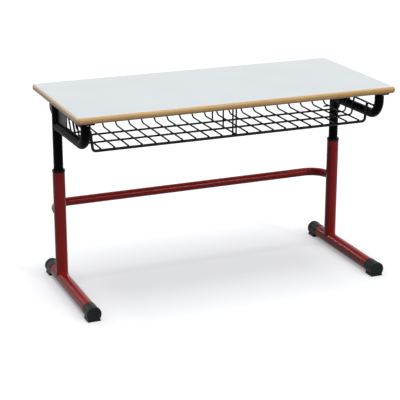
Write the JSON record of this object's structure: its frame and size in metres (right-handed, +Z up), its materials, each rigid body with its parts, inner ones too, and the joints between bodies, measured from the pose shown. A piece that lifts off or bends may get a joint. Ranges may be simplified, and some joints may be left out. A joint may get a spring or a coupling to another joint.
{
  "type": "double school desk",
  "caption": "Two-seat school desk: laminate top with wood lipping on a height-adjustable tubular frame, with a wire book basket under the top.",
  "frame": {"origin": "on the floor, under the centre of the desk's outline", "axes": "+X to the user's right, +Y from the user to the rear, +Z up"},
  "size_m": [1.2, 0.55, 0.7265],
  "materials": {
    "grey_laminate": "satin",
    "beech": "clear lacquer",
    "core_board": "raw",
    "backing": "matt",
    "red_paint": "gloss",
    "black_paint": "satin",
    "basket_paint": "satin",
    "cap_plastic": "satin",
    "black_plastic": "satin",
    "zinc_steel": "zinc plated"
  },
  "bodies": {
    "lower_frame": {"crossbar": "red_paint", "foot_tube_left": "red_paint", "lower_column_left": "red_paint", "foot_cap_front_left": "cap_plastic", "foot_cap_rear_left": "cap_plastic", "guide_collar_left": "black_plastic", "lock_boss_left": "red_paint", "lock_screw_left": "zinc_steel", "foot_tube_right": "red_paint", "lower_column_right": "red_paint", "foot_cap_front_right": "cap_plastic", "foot_cap_rear_right": "cap_plastic", "guide_collar_right": "black_plastic", "lock_boss_right": "red_paint", "lock_screw_right": "zinc_steel"},
    "upper_frame": {"upper_column_left": "black_paint", "slide_plug_left": "black_plastic", "support_arm_left": "black_paint", "front_plate_left": "black_paint", "column_plate_left": "black_paint", "front_gusset_left": "black_paint", "rear_gusset_left": "black_paint", "basket_end_wires_left": "basket_paint", "upper_column_right": "black_paint", "slide_plug_right": "black_plastic", "support_arm_right": "black_paint", "front_plate_right": "black_paint", "column_plate_right": "black_paint", "front_gusset_right": "black_paint", "rear_gusset_right": "black_paint", "basket_end_wires_right": "basket_paint", "top_core": "core_board", "top_laminate": "grey_laminate", "backing_laminate": "backing", "lipping_front": "beech", "lipping_rear": "beech", "lipping_left": "beech", "lipping_right": "beech", "plate_screws": "zinc_steel", "basket_clips": "zinc_steel", "basket_clip_screws": "zinc_steel", "basket_front_wire": "basket_paint", "basket_floor_wires": "basket_paint", "basket_cross_wires": "basket_paint", "basket_rear_rail": "basket_paint", "basket_rim": "basket_paint", "basket_divider": "basket_paint"}
  },
  "joints": [
    {"name": "height_slide", "type": "slide", "parent": "lower_frame", "child": "upper_frame", "axis": [0, 0, 1], "range_m": [-0.13, 0.04]}
  ]
}
